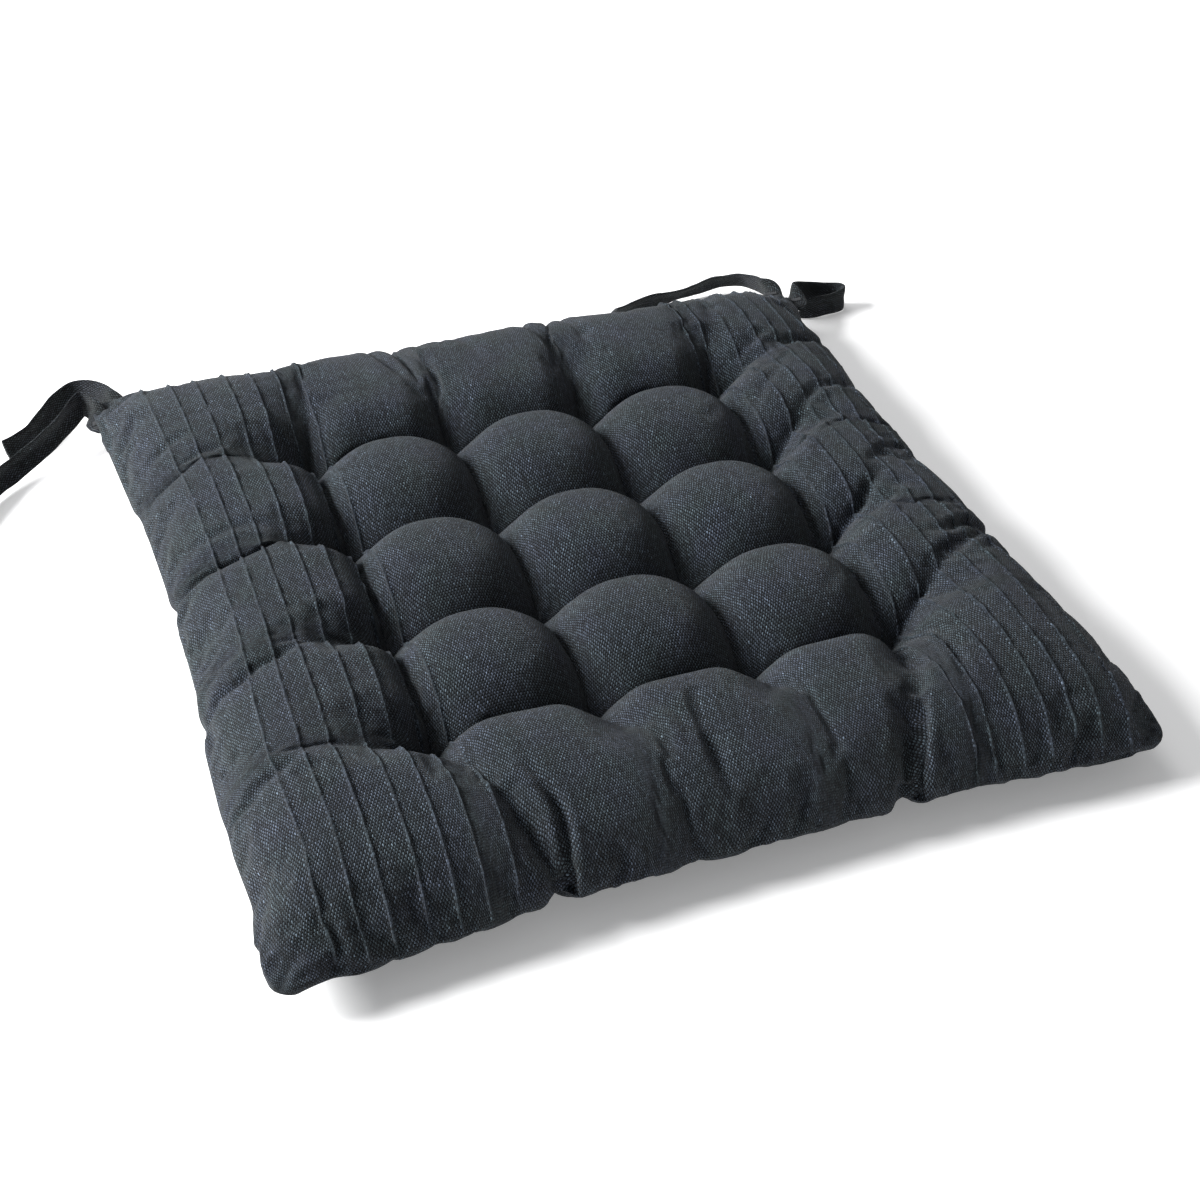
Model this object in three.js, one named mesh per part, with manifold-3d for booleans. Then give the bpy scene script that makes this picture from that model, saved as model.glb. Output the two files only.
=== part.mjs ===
// A quilted chair seat pad: two woven cotton covers sewn together round the rim, a polyester fibre
// filling, sixteen tuft stitches that pull the covers together, and four flat ties at the back corners.
// Millimetres, +Z up. The origin is on the surface that the pad lies on, under the middle of the pad.
// The back edge, with the ties, is towards +Y.
import * as THREE from "three";
import { mergeVertices } from "three/addons/utils/BufferGeometryUtils.js";
import Module from "manifold-3d";

// The pad.
const padWidth = 400;
const padDepth = 400;
const cornerRadius = 10;
const edgeRound = 42; // how far in from the rim the pad reaches its full thickness
const seamHeight = 19;
const coverThickness = 1;
const fitGap = 0.3; // between pieces that touch

// Heights of the quilting, over the puffs, along the valleys between them and at the tufts.
const topLevels = { puff: 52, valley: 33, tuft: 22 };
const bottomLevels = { puff: 0, valley: 5, tuft: 11 };
const topPuffReach = 1; // share of half a puff that its rounded flank takes
const bottomPuffReach = 0.5;

// The tufts, a grid centred on the pad.
const tuftColumns = 4;
const tuftRows = 4;
const tuftPitchX = 73.5;
const tuftPitchY = 70;
const dimpleHalf = 4; // half the width of the flat place at a tuft
const puffSteps = 4;
const borderSteps = 3;

// The threads.
const tuftThread = 1.2;
const tuftStitchLength = 6;
const tuftHoleRadius = 1.5;
const seamThread = 0.8;
const seamInset = 3;
const fillingInset = 6;

// The ties: each is a folded strip on its long edge, which leaves the rim at a back corner. Its route
// starts on its hinge. A point is how far out to the side of the corner it is, how far behind the
// corner, and how high.
const tieWidth = 14;
const tieThickness = 2;
const tieSteps = 32;
const tackWidth = 3;
const tackHeight = 7;
const tackThickness = 0.8;
const tackFromRim = 0.4;
const tieRoutes = {
  tie_left_rear: [
    [-8, 2.6, 19], [-6, 11, 18.5], [-2.5, 21, 17.5], [4, 29, 16], [12, 32.5, 14.5], [20, 29, 12.5],
    [27, 22, 10.5], [33.5, 14.5, 9], [39, 8, 8], [45.5, 2.5, 8], [52.3, -1.8, 8],
  ],
  tie_left_side: [
    [2.6, -8, 19], [4, -1, 20.3], [5.3, 6, 21.7], [9.5, 11.8, 21.8], [13.5, 10, 20.4],
    [18.2, 6.3, 18], [24, 1.2, 16], [30, -3.6, 14], [36.2, -8, 12], [43, -12.2, 10],
    [52, -18.3, 8], [60, -25, 8], [67, -33.5, 8], [73.5, -43, 8], [79, -53.5, 8],
  ],
  tie_right_rear: [
    [-8, 2.6, 19], [-6.5, 11, 18], [-6.5, 20, 16.5], [-8.5, 28.5, 14.5], [-13, 36, 13],
    [-20.6, 41, 11], [-29, 42.3, 10], [-37, 41.5, 9], [-46, 40.2, 8.3], [-54.3, 38.8, 8],
    [-63, 37.3, 8], [-71.8, 35.9, 8], [-85.7, 33, 8], [-98, 29.8, 8],
  ],
  tie_right_side: [
    [2.6, -8, 19], [3.5, -1, 18.5], [6.5, 5.5, 17], [11.5, 9.8, 14.5], [17.5, 12, 12], [24, 13, 10],
    [30.5, 13.2, 8.8], [36.5, 12.8, 8.2], [41.2, 10.8, 8], [42.8, 7.2, 8], [40.6, 4, 8],
    [35.5, 2.3, 8], [29, 1.3, 8], [22.5, 0.8, 8], [16.5, 0.9, 8], [11.5, 2, 8],
  ],
};

const halfWidth = padWidth / 2;
const halfDepth = padDepth / 2;
const wasm = await Module();
wasm.setup();

const cloth = { color: 0x3d4147, roughness: 0.95, metalness: 0 };
const material = {
  cover: () => new THREE.MeshStandardMaterial(cloth),
  tie: () => new THREE.MeshStandardMaterial({ ...cloth, color: 0x33363c }),
  filling: () => new THREE.MeshStandardMaterial({ ...cloth, color: 0xe9e8e4 }),
  thread: () => new THREE.MeshStandardMaterial({ ...cloth, color: 0x1c1e22, roughness: 0.8 }),
};

const pad = new THREE.Group();

function addPiece(name, geometry, makeMaterial) {
  geometry.computeVertexNormals();
  const mesh = new THREE.Mesh(geometry, makeMaterial());
  mesh.name = name;
  pad.add(mesh);
}

// A closed geometry as a solid for joining and cutting, and back again.
function toSolid(geometry) {
  const bare = geometry.clone();
  bare.deleteAttribute("normal");
  bare.deleteAttribute("uv");
  const merged = mergeVertices(bare, 1e-3);
  const vertProperties = new Float32Array(merged.attributes.position.array);
  const triVerts = new Uint32Array(merged.index.array);
  return new wasm.Manifold(new wasm.Mesh({ numProp: 3, vertProperties, triVerts }));
}

function toGeometry(solid) {
  const mesh = solid.getMesh();
  return new THREE.BufferGeometry()
    .setAttribute("position", new THREE.BufferAttribute(mesh.vertProperties, 3))
    .setIndex(new THREE.BufferAttribute(mesh.triVerts, 1));
}

// The places of the tufts along one side of the pad.
function tuftPlaces(count, pitch) {
  return Array.from({ length: count }, (_, i) => (i - (count - 1) / 2) * pitch);
}

// The lines of the quilting's grid: the rim, the filling's edge, and both sides of each tuft, with
// even steps between them.
function gridLines(half, places) {
  const lines = [-half, fillingInset - half];
  const addSteps = (end, count) => {
    const start = lines.at(-1);
    for (let k = 1; k <= count; k++) lines.push(start + ((end - start) * k) / count);
  };
  places.forEach((place, i) => {
    addSteps(place - dimpleHalf, i === 0 ? borderSteps : puffSteps);
    lines.push(place + dimpleHalf);
  });
  addSteps(half - fillingInset, borderSteps);
  lines.push(half);
  return lines;
}

const columns = tuftPlaces(tuftColumns, tuftPitchX);
const rows = tuftPlaces(tuftRows, tuftPitchY);
const linesX = gridLines(halfWidth, columns);
const linesY = gridLines(halfDepth, rows);

// How far the cloth has risen out of the valleys along one direction: 0 in a valley, 1 on a puff.
function puffRise(at, places, pitch, reach) {
  const nearest = Math.min(...places.map((place) => Math.abs(at - place)));
  const flank = (pitch / 2 - dimpleHalf) * reach;
  const share = Math.min(1, Math.max(0, nearest - dimpleHalf) / flank);
  return Math.sqrt(1 - (1 - share) ** 2);
}

// How far the cloth has come out from the rim: 0 at the rim, 1 past the round edge.
function rimRise(at, half) {
  const past = Math.max(0, Math.abs(at) - (half - edgeRound)) / edgeRound;
  return Math.sqrt(Math.max(0, 1 - past ** 2));
}

// The height of a cover's outer face.
function quiltHeight(x, y, levels, reach, rimHeight) {
  const acrossX = puffRise(x, columns, tuftPitchX, reach);
  const acrossY = puffRise(y, rows, tuftPitchY, reach);
  const either = acrossX + acrossY - acrossX * acrossY;
  const both = acrossX * acrossY;
  const level =
    levels.tuft + (levels.valley - levels.tuft) * either + (levels.puff - levels.valley) * both;
  return rimHeight + (level - rimHeight) * rimRise(x, halfWidth) * rimRise(y, halfDepth);
}

const rimOffset = fitGap / 2 + coverThickness;
const topFace = (x, y) => quiltHeight(x, y, topLevels, topPuffReach, seamHeight + rimOffset);
const bottomFace = (x, y) => quiltHeight(x, y, bottomLevels, bottomPuffReach, seamHeight - rimOffset);

// Pulls a point near one of the pad's corners in to a round corner.
function roundCorner(x, y) {
  const overX = Math.abs(x) - (halfWidth - cornerRadius);
  const overY = Math.abs(y) - (halfDepth - cornerRadius);
  if (overX <= 0 || overY <= 0) return [x, y];
  const pull = 1 - Math.max(overX, overY) / Math.hypot(overX, overY);
  return [x - Math.sign(x) * overX * pull, y - Math.sign(y) * overY * pull];
}

// A box of one layer whose grid follows the lines and whose two faces follow the height functions.
function quiltLayer(acrossLines, deepLines, upper, lower) {
  const nx = acrossLines.length - 1;
  const ny = deepLines.length - 1;
  const geometry = new THREE.BoxGeometry(nx, ny, 1, nx, ny, 1);
  const position = geometry.attributes.position;
  for (let i = 0; i < position.count; i++) {
    const x = acrossLines[Math.round(position.getX(i) + nx / 2)];
    const y = deepLines[Math.round(position.getY(i) + ny / 2)];
    const height = position.getZ(i) > 0 ? upper(x, y) : lower(x, y);
    position.setXYZ(i, ...roundCorner(x, y), height);
  }
  // The under face is split along the same diagonals as the upper one, so that layers nest.
  const under = geometry.groups[5];
  const index = geometry.index;
  for (let i = under.start; i < under.start + under.count; i += 6) {
    const [a, b, , , c, d] = index.array.slice(i, i + 6);
    index.array.set([a, b, c, a, c, d], i);
  }
  return geometry;
}

// The holes that the tuft threads pass through.
function cutTuftHoles(geometry) {
  let solid = toSolid(geometry);
  const drill = new THREE.CylinderGeometry(tuftHoleRadius, tuftHoleRadius, 4 * topLevels.puff, 8);
  drill.rotateX(Math.PI / 2);
  columns.forEach((x) =>
    rows.forEach((y) => {
      solid = solid.subtract(toSolid(drill.clone().translate(x, y, 0)));
    }),
  );
  return toGeometry(solid);
}

function addCoversAndFilling() {
  const topInside = (x, y) => topFace(x, y) - coverThickness;
  const bottomInside = (x, y) => bottomFace(x, y) + coverThickness;
  const topCover = quiltLayer(linesX, linesY, topFace, topInside);
  const bottomCover = quiltLayer(linesX, linesY, bottomInside, bottomFace);
  const filling = quiltLayer(
    linesX.slice(1, -1),
    linesY.slice(1, -1),
    (x, y) => topInside(x, y) - fitGap,
    (x, y) => bottomInside(x, y) + fitGap,
  );
  addPiece("top_cover", cutTuftHoles(topCover), material.cover);
  addPiece("bottom_cover", cutTuftHoles(bottomCover), material.cover);
  addPiece("fibre_filling", cutTuftHoles(filling), material.filling);
}

// A tuft's thread: a stitch on the top, a stitch underneath and the thread between them.
function addTuftStitches() {
  const high = topLevels.tuft + fitGap;
  const low = bottomLevels.tuft - fitGap;
  const reach = tuftStitchLength / 2;
  const core = tuftThread / 2;
  const outline = new THREE.Shape();
  outline.moveTo(-reach, low - tuftThread);
  outline.lineTo(reach, low - tuftThread);
  outline.lineTo(reach, low);
  outline.lineTo(core, low);
  outline.lineTo(core, high);
  outline.lineTo(reach, high);
  outline.lineTo(reach, high + tuftThread);
  outline.lineTo(-reach, high + tuftThread);
  outline.lineTo(-reach, high);
  outline.lineTo(-core, high);
  outline.lineTo(-core, low);
  outline.lineTo(-reach, low);
  outline.closePath();
  const stitch = new THREE.ExtrudeGeometry(outline, { depth: tuftThread, bevelEnabled: false });
  stitch.rotateX(Math.PI / 2);
  rows.toReversed().forEach((y, row) =>
    columns.forEach((x, column) => {
      const placed = stitch.clone().translate(x, y + core, 0);
      addPiece(`tuft_stitch_row${row + 1}_column${column + 1}`, placed, material.thread);
    }),
  );
}

// An outline parallel to the pad's rim, as a shape or as a hole in one.
function rimOutline(path, inset) {
  const x = halfWidth - inset;
  const y = halfDepth - inset;
  const r = cornerRadius;
  path.moveTo(x, y - r);
  path.absarc(x - r, y - r, r, 0, Math.PI / 2, false);
  path.absarc(r - x, y - r, r, Math.PI / 2, Math.PI, false);
  path.absarc(r - x, r - y, r, Math.PI, 1.5 * Math.PI, false);
  path.absarc(x - r, r - y, r, 1.5 * Math.PI, 2 * Math.PI, false);
  path.closePath();
  return path;
}

function addRimSeam() {
  const ring = rimOutline(new THREE.Shape(), seamInset);
  ring.holes.push(rimOutline(new THREE.Path(), seamInset + seamThread));
  const options = { depth: seamThread, bevelEnabled: false, curveSegments: 6 };
  const seam = new THREE.ExtrudeGeometry(ring, options);
  addPiece("rim_seam_thread", seam.translate(0, 0, seamHeight - seamThread / 2), material.thread);
}

// A flat strip on its long edge along a curve.
function tieStrip(curve) {
  const strip = new THREE.BoxGeometry(1, tieThickness, tieWidth, tieSteps, 1, 1);
  const position = strip.attributes.position;
  for (let i = 0; i < position.count; i++) {
    const along = THREE.MathUtils.clamp(position.getX(i) + 0.5, 0, 1);
    const point = curve.getPointAt(along);
    const tangent = curve.getTangentAt(along);
    const side = new THREE.Vector3(-tangent.y, tangent.x, 0).normalize();
    point.addScaledVector(side, position.getY(i));
    position.setXYZ(i, point.x, point.y, point.z + position.getZ(i));
  }
  return strip;
}

// Each tie, and the bar tack that holds its root to the rim.
function addTies() {
  const tackFace = tackFromRim + tackThickness / 2;
  for (const [name, route] of Object.entries(tieRoutes)) {
    const side = name.includes("left") ? -1 : 1;
    const points = route.map(
      ([out, back, height]) =>
        new THREE.Vector3(side * (halfWidth + out), halfDepth + back, height),
    );
    addPiece(name, tieStrip(new THREE.CatmullRomCurve3(points)), material.tie);
    const onBackEdge = name.endsWith("rear");
    const tack = onBackEdge
      ? new THREE.BoxGeometry(tackWidth, tackThickness, tackHeight)
      : new THREE.BoxGeometry(tackThickness, tackWidth, tackHeight);
    const [root] = points;
    tack.translate(
      onBackEdge ? root.x : side * (halfWidth + tackFace),
      onBackEdge ? halfDepth + tackFace : root.y,
      seamHeight,
    );
    addPiece(`${name}_bar_tack`, tack, material.thread);
  }
}

addCoversAndFilling();
addTuftStitches();
addRimSeam();
addTies();

export default pad;
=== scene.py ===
"""A tufted chair seat pad of dark woven cotton, with pin-tuck ribs on its side borders and flat ties.

The quilted cover is one closed cloth: a flat grid for the upper panel and one for the lower panel are
given the quilted form, sewn together round the rim, blown up with the tufts and the rim held, and
sampled again on a finer grid that has lines along the ribs. Tucks and ribs are then pressed into it.
The ties are folded strips swept along their routes.
"""

import math

import bmesh
import bpy
import numpy as np
from mathutils import Matrix, Vector, noise


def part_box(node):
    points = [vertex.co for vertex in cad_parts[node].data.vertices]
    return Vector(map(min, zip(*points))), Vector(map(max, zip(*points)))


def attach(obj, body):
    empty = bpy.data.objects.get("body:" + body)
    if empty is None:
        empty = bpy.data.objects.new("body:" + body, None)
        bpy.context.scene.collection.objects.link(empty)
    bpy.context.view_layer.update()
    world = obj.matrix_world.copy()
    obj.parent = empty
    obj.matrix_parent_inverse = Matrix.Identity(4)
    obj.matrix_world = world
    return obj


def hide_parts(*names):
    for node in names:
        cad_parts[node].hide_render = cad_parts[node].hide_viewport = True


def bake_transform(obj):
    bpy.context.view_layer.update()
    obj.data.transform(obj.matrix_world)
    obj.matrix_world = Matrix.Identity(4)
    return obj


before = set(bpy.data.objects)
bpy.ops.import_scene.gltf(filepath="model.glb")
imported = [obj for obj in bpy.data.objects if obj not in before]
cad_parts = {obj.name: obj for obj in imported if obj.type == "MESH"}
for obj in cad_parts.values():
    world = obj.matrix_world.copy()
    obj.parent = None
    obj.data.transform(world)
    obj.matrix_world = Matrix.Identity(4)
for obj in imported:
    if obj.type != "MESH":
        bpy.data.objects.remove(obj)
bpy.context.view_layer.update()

MM = 0.001

# ---------------------------------------------------------------- places read from the frame

TUFT_ROWS = 4
TUFT_COLUMNS = 4


def middle(node):
    """The middle of a CAD node's box."""
    low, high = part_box(node)
    return (low + high) / 2


TUFT_NODES = [
    [f"tuft_stitch_row{row + 1}_column{column + 1}" for column in range(TUFT_COLUMNS)]
    for row in range(TUFT_ROWS)
]
TUFTS = np.array([[middle(node)[:2] for node in row] for row in TUFT_NODES])
PAD_LOW, PAD_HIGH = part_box("top_cover")
HALF_WIDTH = (PAD_HIGH.x - PAD_LOW.x) / 2
HALF_DEPTH = (PAD_HIGH.y - PAD_LOW.y) / 2
SEAM_Z = middle("rim_seam_thread").z

# ---------------------------------------------------------------- camera

CAMERA_PLACE = Vector((-0.2628, -0.6618, 0.6001))
CAMERA_RIGHT = Vector((0.93514, -0.35283, 0.03196))
CAMERA_UP = Vector((0.20520, 0.61298, 0.76298))
CAMERA_LENS = 56.5
CAMERA_SENSOR = 36


def add_camera():
    data = bpy.data.cameras.new("camera")
    data.lens = CAMERA_LENS
    data.sensor_width = CAMERA_SENSOR
    camera = bpy.data.objects.new("camera", data)
    right = CAMERA_RIGHT.normalized()
    up = (CAMERA_UP - right * CAMERA_UP.dot(right)).normalized()
    turn = Matrix((right, up, right.cross(up))).transposed()
    camera.matrix_world = Matrix.Translation(CAMERA_PLACE) @ turn.to_4x4()
    bpy.context.scene.collection.objects.link(camera)
    bpy.context.scene.camera = camera


# ---------------------------------------------------------------- node trees


class Nodes:
    """Short forms for building a material's node tree."""

    def __init__(self, tree):
        self.tree = tree

    def add(self, kind, **values):
        node = self.tree.nodes.new("ShaderNode" + kind)
        for name, value in values.items():
            setattr(node, name, value)
        return node

    def link(self, source, socket):
        self.tree.links.new(source, socket)

    def put(self, value, socket):
        if hasattr(value, "links"):
            self.link(value, socket)
        else:
            socket.default_value = value

    def math(self, operation, *values):
        node = self.add("Math", operation=operation)
        for value, socket in zip(values, node.inputs):
            self.put(value, socket)
        return node.outputs[0]

    def noise(self, vector, scale, detail):
        node = self.add("TexNoise")
        self.put(vector, node.inputs["Vector"])
        node.inputs["Scale"].default_value = scale
        node.inputs["Detail"].default_value = detail
        return node.outputs["Fac"]

    def remap(self, value, low, high, to_low=0.0, to_high=1.0):
        node = self.add("MapRange")
        for number, socket in zip((value, low, high, to_low, to_high), node.inputs):
            self.put(number, socket)
        return node.outputs[0]

    def mix(self, factor, first, second, blend="MIX"):
        node = self.add("Mix", data_type="RGBA", blend_type=blend)
        self.put(factor, node.inputs[0])
        self.put(first, node.inputs[6])
        self.put(second, node.inputs[7])
        return node.outputs[2]

    def mix_value(self, factor, first, second):
        node = self.add("Mix", data_type="FLOAT")
        self.put(factor, node.inputs[0])
        self.put(first, node.inputs[2])
        self.put(second, node.inputs[3])
        return node.outputs[0]

    def combine(self, *values):
        node = self.add("CombineXYZ")
        for value, socket in zip(values, node.inputs):
            self.put(value, socket)
        return node.outputs[0]

    def wave(self, value):
        """0 at whole numbers and 1 half way between them."""
        return self.math("ABSOLUTE", self.math("SINE", self.math("MULTIPLY", value, math.pi)))

    def cloth_places(self):
        """The piece's own UV map, and its two parts."""
        uv = self.add("UVMap", uv_map="cloth").outputs[0]
        split = self.add("SeparateXYZ")
        self.link(uv, split.inputs[0])
        return uv, split.outputs[0], split.outputs[1]

    def bump(self, height, distance, shader):
        node = self.add("Bump")
        node.inputs["Distance"].default_value = distance
        self.link(height, node.inputs["Height"])
        self.link(node.outputs[0], shader.inputs["Normal"])


def new_material(name):
    """A material with an empty node tree around its shader."""
    material = bpy.data.materials.new(name)
    material.use_nodes = True
    nodes = Nodes(material.node_tree)
    shader = next(n for n in material.node_tree.nodes if n.type == "BSDF_PRINCIPLED")
    return material, nodes, shader


WARP_PITCH = 0.68 * MM  # between the threads that run from front to back
WEFT_PITCH = 1.2 * MM  # between the thicker threads that run from side to side
WARP_WAVES = 130.0  # how many bends a thread has in a metre
WEFT_WAVES = 95.0
THREAD_WANDER = 2.2 * MM  # how far those bends move a thread, from one side to the other
THREAD_DIP = 0.4  # a thread's height where it goes under the next one, against 1 at its crown
WEFT_LOWER = 0.7  # the crowns of the weft against those of the warp
SHADE_RANGE = (0.62, 1.38)  # of whole threads
GRAIN_RANGE = (0.4, 1.6)  # of single crossings
SLUB_FROM = 0.98  # the share of crossings that have no slub
SLUB_SHADE = 1.8
WARP_STREAK = 0.05  # how fast a thread's shade changes along it, against from thread to thread
WEFT_STREAK = 0.03
DYE_SCALE = 16.0
DYE_RANGE = (0.86, 1.14)
HUE_SCALE = 45.0
BLUE_TINT = (1.02, 0.97, 1.06, 1)
GREEN_TINT = (0.98, 1.03, 0.94, 1)
RIB_CREST = 0.42  # how much warp shows on the crest of a rib, and how high it stands
FUZZ_SCALE = 2600.0
FUZZ_HEIGHT = 0.3


def woven_cotton(name, warp, weft, gap_shade, relief):
    """Coarse plain weave on the piece's own UV map, which is in metres of cloth.

    The piece's rib attribute, if it has one, is 1 along the crest of a rib, where the threads of the
    warp lie side by side. The gap colour is painted shade, laid where the threads dip into the hollows
    between them.
    """
    material, nodes, shader = new_material(name)
    uv, *cloth = nodes.cloth_places()

    # Threads wander a little, so they also differ in thickness.
    places = []
    for place, pitch, waves in zip(cloth, (WARP_PITCH, WEFT_PITCH), (WARP_WAVES, WEFT_WAVES)):
        wander = nodes.math("SUBTRACT", nodes.noise(uv, waves, 2.0), 0.5)
        moved = nodes.math("MULTIPLY_ADD", wander, THREAD_WANDER, place)
        places.append(nodes.math("DIVIDE", moved, pitch))
    across, along = places

    # The two sets of threads take turns on top, and each is highest in the middle of its turn.
    crown_across, crown_along = nodes.wave(across), nodes.wave(along)
    column, row = nodes.math("FLOOR", across), nodes.math("FLOOR", along)
    turn = nodes.math("PINGPONG", nodes.math("ADD", column, row), 1.0)
    highs = []
    for crown, other in ((crown_across, crown_along), (crown_along, crown_across)):
        dip = nodes.math("MULTIPLY_ADD", other, 1 - THREAD_DIP, THREAD_DIP)
        highs.append(nodes.math("MULTIPLY", crown, dip))
    warp_high, weft_high = highs
    height = nodes.mix_value(turn, nodes.math("MULTIPLY", weft_high, WEFT_LOWER), warp_high)

    # Each thread has its own shade, which changes along it.
    warp_place = nodes.combine(column, nodes.math("MULTIPLY", along, WARP_STREAK))
    weft_place = nodes.combine(nodes.math("MULTIPLY", across, WEFT_STREAK), row)
    warp_shade, weft_shade = nodes.noise(warp_place, 0.8, 2.0), nodes.noise(weft_place, 0.8, 2.0)
    shade = nodes.mix(turn, weft_shade, warp_shade)
    shade = nodes.remap(shade, 0.25, 0.75, *SHADE_RANGE)
    cell = nodes.add("TexWhiteNoise", noise_dimensions="2D")
    nodes.link(nodes.combine(column, row), cell.inputs["Vector"])
    grain = nodes.remap(cell.outputs["Value"], 0.0, 1.0, *GRAIN_RANGE)
    slub = nodes.remap(cell.outputs["Value"], SLUB_FROM, 1.0, 1.0, SLUB_SHADE)

    # Broad, soft differences of dye, and hue that drifts between blue and green.
    dye = nodes.remap(nodes.noise(uv, DYE_SCALE, 3.0), 0.3, 0.7, *DYE_RANGE)
    tone = nodes.math("MULTIPLY", shade, grain)
    tone = nodes.math("MULTIPLY", tone, nodes.math("MULTIPLY", dye, slub))
    rib = nodes.add("Attribute", attribute_name="rib").outputs["Fac"]
    on_top = nodes.mix_value(rib, turn, RIB_CREST)
    height = nodes.math("MAXIMUM", height, nodes.math("MULTIPLY", rib, RIB_CREST))
    colour = nodes.mix(on_top, weft, warp)
    # Below a thread's crown the colour darkens to the gap colour: painted shade in the hollows of the
    # weave, with less of it on rib crests, which stand higher.
    colour = nodes.mix(nodes.remap(height, 0.05, 0.55), gap_shade, colour)
    colour = nodes.mix(1.0, colour, nodes.combine(tone, tone, tone), "MULTIPLY")
    hue = nodes.remap(nodes.noise(uv, HUE_SCALE, 2.0), 0.35, 0.65)
    tint = nodes.mix(hue, BLUE_TINT, GREEN_TINT)
    colour = nodes.mix(1.0, colour, tint, "MULTIPLY")
    nodes.link(colour, shader.inputs["Base Color"])
    nodes.link(nodes.remap(height, 0.0, 1.0, 1.0, 0.84), shader.inputs["Roughness"])
    shader.inputs["Sheen Weight"].default_value = 0.08
    shader.inputs["Sheen Roughness"].default_value = 0.4
    shader.inputs["Specular IOR Level"].default_value = 0.2

    fuzz = nodes.noise(uv, FUZZ_SCALE, 1.0)
    nodes.bump(nodes.math("MULTIPLY_ADD", fuzz, FUZZ_HEIGHT, height), relief * MM, shader)
    return material


TWIST = 900.0  # turns of the plies in a metre of thread
PLY_RELIEF = 0.15 * MM


def twisted_thread(name, colour, ply_crown_light):
    """Sewing thread: plies wound round the thread, on its own UV map, u round it and v along it."""
    material, nodes, shader = new_material(name)
    _, around, along = nodes.cloth_places()
    wound = nodes.math("ADD", around, nodes.math("MULTIPLY", along, TWIST))
    ply = nodes.math("ABSOLUTE", nodes.math("SINE", nodes.math("MULTIPLY", wound, math.tau)))
    # The plies are painted paler on their crowns and darker in the grooves between them: painted light
    # and shade.
    nodes.link(nodes.mix(ply, colour, ply_crown_light), shader.inputs["Base Color"])
    nodes.link(nodes.remap(ply, 0.0, 1.0, 0.8, 0.5), shader.inputs["Roughness"])
    shader.inputs["Sheen Weight"].default_value = 0.1
    nodes.bump(ply, PLY_RELIEF, shader)
    return material


# ---------------------------------------------------------------- the quilted form

DOME_Z = 52 * MM  # the tops of the puffs that lie between tufts
ROLL_Z = 49 * MM  # the top of the roll round them
ROLL_REACH = 25 * MM  # how far from the tufts the roll has its full height
TUFT_Z = 18 * MM
VALLEY_Z = 28 * MM
TUFT_UNDER_Z = 13 * MM
EDGE_ROUND = 76 * MM  # how far from the rim the cover reaches its full height
EDGE_POWER = 2.2
CORNER_RADIUS = 9 * MM
CREASE_SOFTNESS = 0.8  # 1 is a crease with no sharp bottom
NOTCH_DEPTH = 0.35  # how far a crease draws the rim in, against its depth there
NOTCH_WIDTH = 0.55  # and how wide the notch is, against the crease
UNDERSIDE_SHARE = 0.86  # how deep the underside's form is against the top's
FULLNESS = 0.96  # 1 is a puff with upright sides, 0 a flat one
SQUARENESS = 2.5  # 2 is a puff with round shoulders, more is a squarer one

# Creases in the border: the tuft (row from the back, column from the left) that each starts at, where
# it reaches the rim (m), and, in mm, its depth half way and at the rim, and its width at the rim.
BORDER_CREASES = [
    (0, 0, (-0.194, 0.103), 3, 5, 15),
    (1, 0, (-0.197, 0.028), 4.5, 7, 13),
    (2, 0, (-0.198, -0.054), 3.5, 6, 13),
    (3, 0, (-0.200, -0.118), 1, 3, 16),
    (0, 3, (0.197, 0.128), 1.5, 4, 14),
    (1, 3, (0.196, 0.085), 1, 4, 13),
    (2, 3, (0.196, 0.013), 1, 5, 13),
    (3, 3, (0.198, -0.049), 1.2, 5, 13),
    (0, 0, (-0.092, 0.198), 0.5, 1.5, 16),
    (0, 1, (-0.045, 0.198), 2.5, 2, 14),
    (0, 2, (0.045, 0.198), 2.5, 2, 14),
    (0, 3, (0.135, 0.198), 0.5, 1.5, 16),
    (3, 0, (-0.083, -0.198), 6, 20, 9),
    (3, 1, (-0.023, -0.197), 0.8, 5, 13),
    (3, 2, (0.048, -0.197), 0.6, 3, 15),
    (3, 3, (0.074, -0.198), 5, 20, 9),
]

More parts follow.
